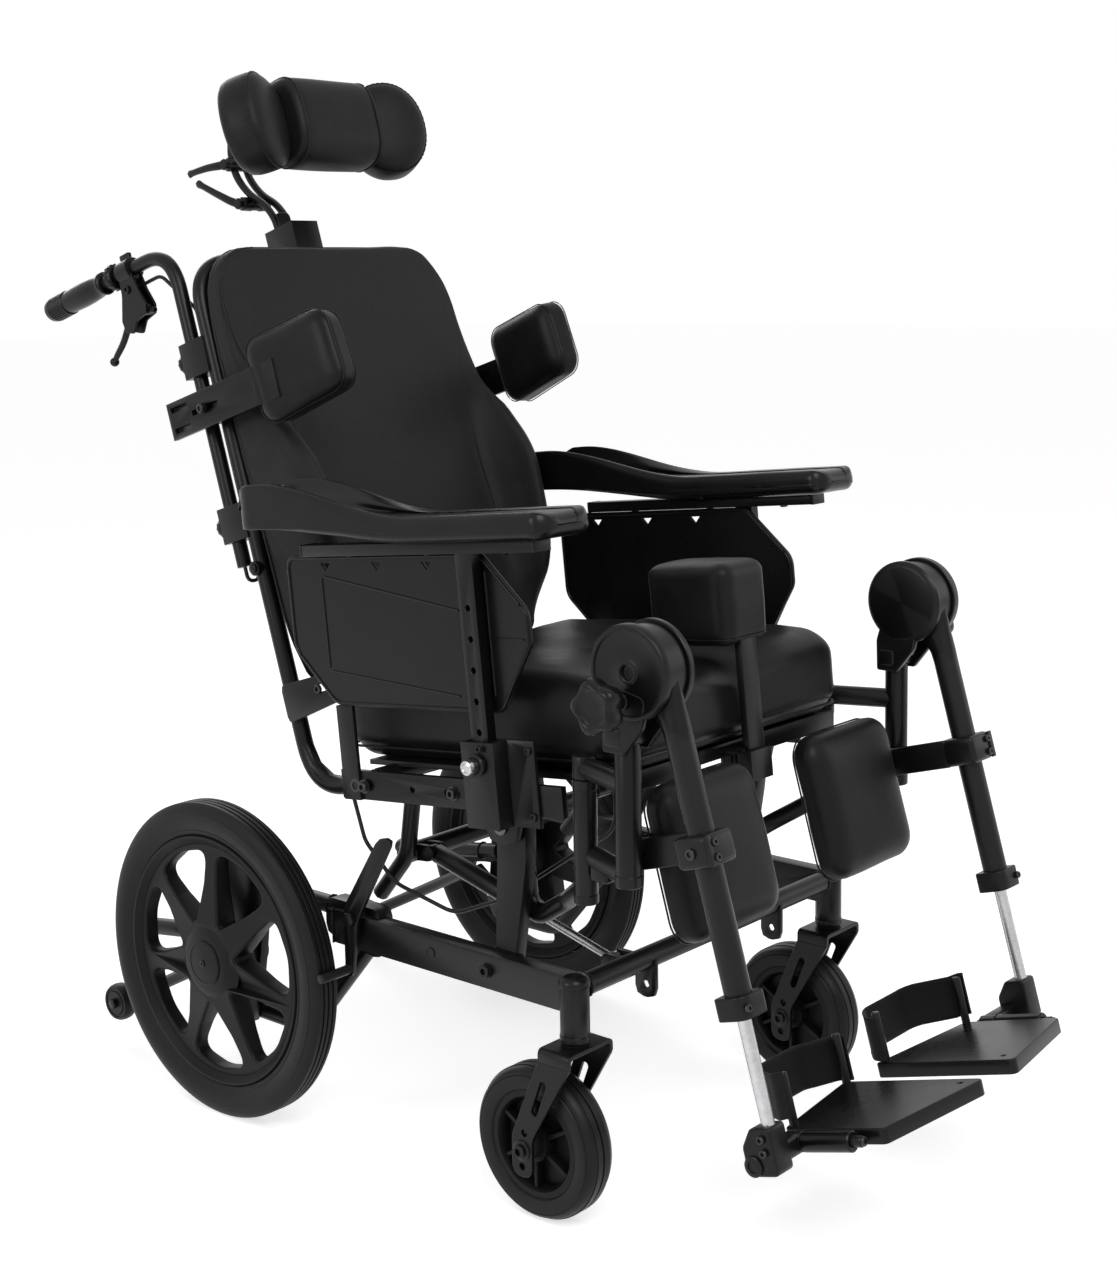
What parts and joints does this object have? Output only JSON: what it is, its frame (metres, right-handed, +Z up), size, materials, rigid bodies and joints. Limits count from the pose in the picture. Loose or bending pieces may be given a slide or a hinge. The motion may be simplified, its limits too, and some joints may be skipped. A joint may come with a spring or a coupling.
{
  "type": "tilt in space wheelchair",
  "caption": "Attendant wheelchair with a tilting seat, reclining contoured back, winged headrest, padded laterals and armrests, pommel, swing-away calf supports and swivel casters.",
  "frame": {"origin": "centre of the bounding box on the floor plane", "axes": "X runs from the user's right to left, the chair faces -Y, and Z is up"},
  "size_m": [0.6786, 1.3742, 1.3345],
  "materials": {
    "frame_paint": "black powder coat, fine satin texture",
    "wheel_plastic": "moulded black plastic, fine grain",
    "tyre_rubber": "black solid rubber, ribbed tread",
    "caster_rubber": "black moulded rubber",
    "black_plastic": "moulded black plastic, soft sheen",
    "coated_cover": "black coated stretch cover, soft sheen",
    "woven_cover": "black close-woven stretch cloth",
    "strap_webbing": "black woven webbing",
    "cable_sheath": "black cable sheath",
    "bright_steel": "plated steel"
  },
  "bodies": {
    "base": {"base_frame": "frame_paint"},
    "seat": {"seat_frame": "frame_paint", "seat_cushion": "coated_cover", "release_cable": "cable_sheath"},
    "back": {"back_frame": "frame_paint", "back_cushion": "woven_cover"},
    "gas_cylinder": {"gas_spring_cylinder": "frame_paint"},
    "gas_rod": {"gas_spring_rod": "bright_steel"},
    "pommel_unit": {"pommel": "coated_cover", "pommel_post": "frame_paint"},
    "headrest": {"headrest_stem": "frame_paint", "headrest_roll": "coated_cover"},
    "rear_wheel_right_unit": {"rear_wheel_right": "wheel_plastic", "rear_tyre_right": "tyre_rubber"},
    "rear_wheel_left_unit": {"rear_wheel_left": "wheel_plastic", "rear_tyre_left": "tyre_rubber"},
    "caster_fork_right_unit": {"caster_fork_right": "frame_paint"},
    "caster_wheel_right_unit": {"caster_wheel_right": "caster_rubber"},
    "caster_fork_left_unit": {"caster_fork_left": "frame_paint"},
    "caster_wheel_left_unit": {"caster_wheel_left": "caster_rubber"},
    "anti_tip_right": {"anti_tip_arm_right": "frame_paint"},
    "anti_tip_wheel_right_unit": {"anti_tip_wheel_right": "caster_rubber"},
    "anti_tip_left": {"anti_tip_arm_left": "frame_paint"},
    "anti_tip_wheel_left_unit": {"anti_tip_wheel_left": "caster_rubber"},
    "brake_right": {"parking_brake_right": "frame_paint"},
    "brake_left": {"parking_brake_left": "frame_paint"},
    "armrest_right": {"armrest_post_right": "frame_paint", "arm_pad_right": "black_plastic", "side_guard_right": "black_plastic"},
    "armrest_pin_right_unit": {"armrest_pin_right": "bright_steel"},
    "armrest_left": {"armrest_post_left": "frame_paint", "arm_pad_left": "black_plastic", "side_guard_left": "black_plastic"},
    "armrest_pin_left_unit": {"armrest_pin_left": "bright_steel"},
    "legrest_right": {"legrest_hanger_right": "frame_paint"},
    "star_knob_right_unit": {"star_knob_right": "black_plastic"},
    "lower_leg_right": {"leg_tube_right": "frame_paint", "calf_pad_right": "coated_cover"},
    "foot_stem_right_unit": {"foot_stem_right": "frame_paint"},
    "footplate_right_unit": {"footplate_right": "black_plastic", "heel_strap_right": "strap_webbing"},
    "legrest_left": {"legrest_hanger_left": "frame_paint"},
    "star_knob_left_unit": {"star_knob_left": "black_plastic"},
    "lower_leg_left": {"leg_tube_left": "frame_paint", "calf_pad_left": "coated_cover"},
    "foot_stem_left_unit": {"foot_stem_left": "frame_paint"},
    "footplate_left_unit": {"footplate_left": "black_plastic", "heel_strap_left": "strap_webbing"},
    "push_handle_right_unit": {"push_handle_right": "frame_paint", "handle_cable_right": "cable_sheath"},
    "hand_lever_right_unit": {"hand_lever_right": "black_plastic"},
    "push_handle_left_unit": {"push_handle_left": "frame_paint", "handle_cable_left": "cable_sheath"},
    "hand_lever_left_unit": {"hand_lever_left": "black_plastic"},
    "lateral_right": {"lateral_bracket_right": "frame_paint", "lateral_pad_right": "coated_cover"},
    "lateral_left": {"lateral_bracket_left": "frame_paint", "lateral_pad_left": "coated_cover"},
    "headrest_wing_right_unit": {"headrest_wing_right": "coated_cover"},
    "headrest_wing_left_unit": {"headrest_wing_left": "coated_cover"}
  },
  "joints": [
    {"name": "rear_wheel_right_spin", "type": "hinge", "parent": "base", "child": "rear_wheel_right_unit", "pos_m": [-0.295, 0.26157, 0.203], "axis": [1, 0, 0], "continuous": true},
    {"name": "rear_wheel_left_spin", "type": "hinge", "parent": "base", "child": "rear_wheel_left_unit", "pos_m": [0.295, 0.26157, 0.203], "axis": [1, 0, 0], "continuous": true},
    {"name": "caster_right_swivel", "type": "hinge", "parent": "base", "child": "caster_fork_right_unit", "pos_m": [-0.25, -0.29643, 0.215], "axis": [0, 0, 1], "continuous": true},
    {"name": "caster_wheel_right_spin", "type": "hinge", "parent": "caster_fork_right_unit", "child": "caster_wheel_right_unit", "pos_m": [-0.25, -0.24743, 0.089], "axis": [1, 0, 0], "continuous": true},
    {"name": "caster_left_swivel", "type": "hinge", "parent": "base", "child": "caster_fork_left_unit", "pos_m": [0.25, -0.29643, 0.215], "axis": [0, 0, 1], "continuous": true},
    {"name": "caster_wheel_left_spin", "type": "hinge", "parent": "caster_fork_left_unit", "child": "caster_wheel_left_unit", "pos_m": [0.25, -0.24743, 0.089], "axis": [1, 0, 0], "continuous": true},
    {"name": "anti_tip_right_fold", "type": "hinge", "parent": "base", "child": "anti_tip_right", "pos_m": [-0.214, 0.32357, 0.178], "axis": [1, 0, 0], "range_deg": [0, 60]},
    {"name": "anti_tip_wheel_right_spin", "type": "hinge", "parent": "anti_tip_right", "child": "anti_tip_wheel_right_unit", "pos_m": [-0.234, 0.56757, 0.054], "axis": [1, 0, 0], "continuous": true},
    {"name": "anti_tip_left_fold", "type": "hinge", "parent": "base", "child": "anti_tip_left", "pos_m": [0.214, 0.32357, 0.178], "axis": [1, 0, 0], "range_deg": [0, 60]},
    {"name": "anti_tip_wheel_left_spin", "type": "hinge", "parent": "anti_tip_left", "child": "anti_tip_wheel_left_unit", "pos_m": [0.234, 0.56757, 0.054], "axis": [1, 0, 0], "continuous": true},
    {"name": "parking_brake_right_lever", "type": "hinge", "parent": "base", "child": "brake_right", "pos_m": [-0.264, 0.04757, 0.29], "axis": [1, 0, 0], "range_deg": [-25, 0]},
    {"name": "parking_brake_left_lever", "type": "hinge", "parent": "base", "child": "brake_left", "pos_m": [0.264, 0.04757, 0.29], "axis": [1, 0, 0], "range_deg": [-25, 0]},
    {"name": "seat_tilt", "type": "hinge", "parent": "base", "child": "seat", "pos_m": [0, -0.18843, 0.442], "axis": [-1, 0, 0], "range_deg": [-5.5, 20]},
    {"name": "gas_rod_pivot", "type": "hinge", "parent": "base", "child": "gas_rod", "pos_m": [-0.15, -0.26943, 0.277], "axis": [-1, 0, 0], "range_deg": [-3.87, 12.74]},
    {"name": "gas_cylinder_pivot", "type": "hinge", "parent": "seat", "child": "gas_cylinder", "pos_m": [-0.15, 0.01887, 0.35171], "axis": [-1, 0, 0], "range_deg": [-8.26, 2.63]},
    {"name": "back_recline", "type": "hinge", "parent": "seat", "child": "back", "pos_m": [0, 0.04666, 0.45252], "axis": [-1, 0, 0], "range_deg": [-8, 20]},
    {"name": "armrest_right_height", "type": "slide", "parent": "seat", "child": "armrest_right", "axis": [0, 0.0958, 0.9954], "range_m": [0, 0.07]},
    {"name": "armrest_pin_right_pull", "type": "slide", "parent": "seat", "child": "armrest_pin_right_unit", "axis": [-1, 0, 0], "range_m": [0, 0.006], "stiffness_N_per_m": 400},
    {"name": "armrest_left_height", "type": "slide", "parent": "seat", "child": "armrest_left", "axis": [0, 0.0958, 0.9954], "range_m": [0, 0.07]},
    {"name": "armrest_pin_left_pull", "type": "slide", "parent": "seat", "child": "armrest_pin_left_unit", "axis": [1, 0, 0], "range_m": [0, 0.006], "stiffness_N_per_m": 400},
    {"name": "pommel_height", "type": "slide", "parent": "seat", "child": "pommel_unit", "axis": [0, 0.0958, 0.9954], "range_m": [0, 0.05]},
    {"name": "legrest_right_swing", "type": "hinge", "parent": "seat", "child": "legrest_right", "pos_m": [-0.232, -0.30043, 0.5], "axis": [0, 0, -1], "range_deg": [0, 90]},
    {"name": "star_knob_right_turn", "type": "hinge", "parent": "legrest_right", "child": "star_knob_right_unit", "pos_m": [-0.3, -0.40243, 0.622], "axis": [1, 0, 0], "continuous": true},
    {"name": "legrest_right_elevation", "type": "hinge", "parent": "legrest_right", "child": "lower_leg_right", "pos_m": [-0.264, -0.41043, 0.652], "axis": [-1, 0, 0], "range_deg": [0, 70]},
    {"name": "footrest_right_length", "type": "slide", "parent": "lower_leg_right", "child": "foot_stem_right_unit", "axis": [0, -0.2756, -0.9613], "range_m": [-0.03, 0.04]},
    {"name": "footplate_right_flip", "type": "hinge", "parent": "foot_stem_right_unit", "child": "footplate_right_unit", "pos_m": [-0.204, -0.58136, 0.16474], "axis": [0, -0.9613, 0.2756], "range_deg": [0, 85]},
    {"name": "legrest_left_swing", "type": "hinge", "parent": "seat", "child": "legrest_left", "pos_m": [0.232, -0.30043, 0.5], "axis": [0, 0, 1], "range_deg": [0, 90]},
    {"name": "star_knob_left_turn", "type": "hinge", "parent": "legrest_left", "child": "star_knob_left_unit", "pos_m": [0.3, -0.40243, 0.622], "axis": [1, 0, 0], "continuous": true},
    {"name": "legrest_left_elevation", "type": "hinge", "parent": "legrest_left", "child": "lower_leg_left", "pos_m": [0.264, -0.41043, 0.652], "axis": [-1, 0, 0], "range_deg": [0, 70]},
    {"name": "footrest_left_length", "type": "slide", "parent": "lower_leg_left", "child": "foot_stem_left_unit", "axis": [0, -0.2756, -0.9613], "range_m": [-0.03, 0.04]},
    {"name": "footplate_left_flip", "type": "hinge", "parent": "foot_stem_left_unit", "child": "footplate_left_unit", "pos_m": [0.204, -0.58136, 0.16474], "axis": [0, 0.9613, -0.2756], "range_deg": [0, 85]},
    {"name": "push_handle_right_height", "type": "slide", "parent": "back", "child": "push_handle_right_unit", "axis": [0, 0.2924, 0.9563], "range_m": [0, 0.045]},
    {"name": "hand_lever_right_squeeze", "type": "hinge", "parent": "push_handle_right_unit", "child": "hand_lever_right_unit", "pos_m": [-0.205, 0.50128, 1.04341], "axis": [1, 0, 0], "range_deg": [0, 20], "stiffness_Nm_per_rad": 0.8},
    {"name": "push_handle_left_height", "type": "slide", "parent": "back", "child": "push_handle_left_unit", "axis": [0, 0.2924, 0.9563], "range_m": [0, 0.045]},
    {"name": "hand_lever_left_squeeze", "type": "hinge", "parent": "push_handle_left_unit", "child": "hand_lever_left_unit", "pos_m": [0.205, 0.50128, 1.04341], "axis": [1, 0, 0], "range_deg": [0, 20], "stiffness_Nm_per_rad": 0.8},
    {"name": "lateral_right_slide", "type": "slide", "parent": "back", "child": "lateral_right", "axis": [0, 0.9563, -0.2924], "range_m": [-0.022, 0]},
    {"name": "lateral_left_slide", "type": "slide", "parent": "back", "child": "lateral_left", "axis": [0, 0.9563, -0.2924], "range_m": [-0.022, 0]},
    {"name": "headrest_height", "type": "slide", "parent": "back", "child": "headrest", "axis": [0, 0.2924, 0.9563], "range_m": [0, 0.08]},
    {"name": "headrest_wing_right_fold", "type": "hinge", "parent": "headrest", "child": "headrest_wing_right_unit", "pos_m": [-0.08, 0.39672, 1.25106], "axis": [0, -0.2924, -0.9563], "range_deg": [0, 20]},
    {"name": "headrest_wing_left_fold", "type": "hinge", "parent": "headrest", "child": "headrest_wing_left_unit", "pos_m": [0.08, 0.39672, 1.25106], "axis": [0, 0.2924, 0.9563], "range_deg": [0, 20]}
  ],
  "couplings": [
    {"joint": "gas_rod_pivot", "follows": "seat_tilt", "ratio": 0.612},
    {"joint": "gas_cylinder_pivot", "follows": "seat_tilt", "ratio": -0.388}
  ]
}
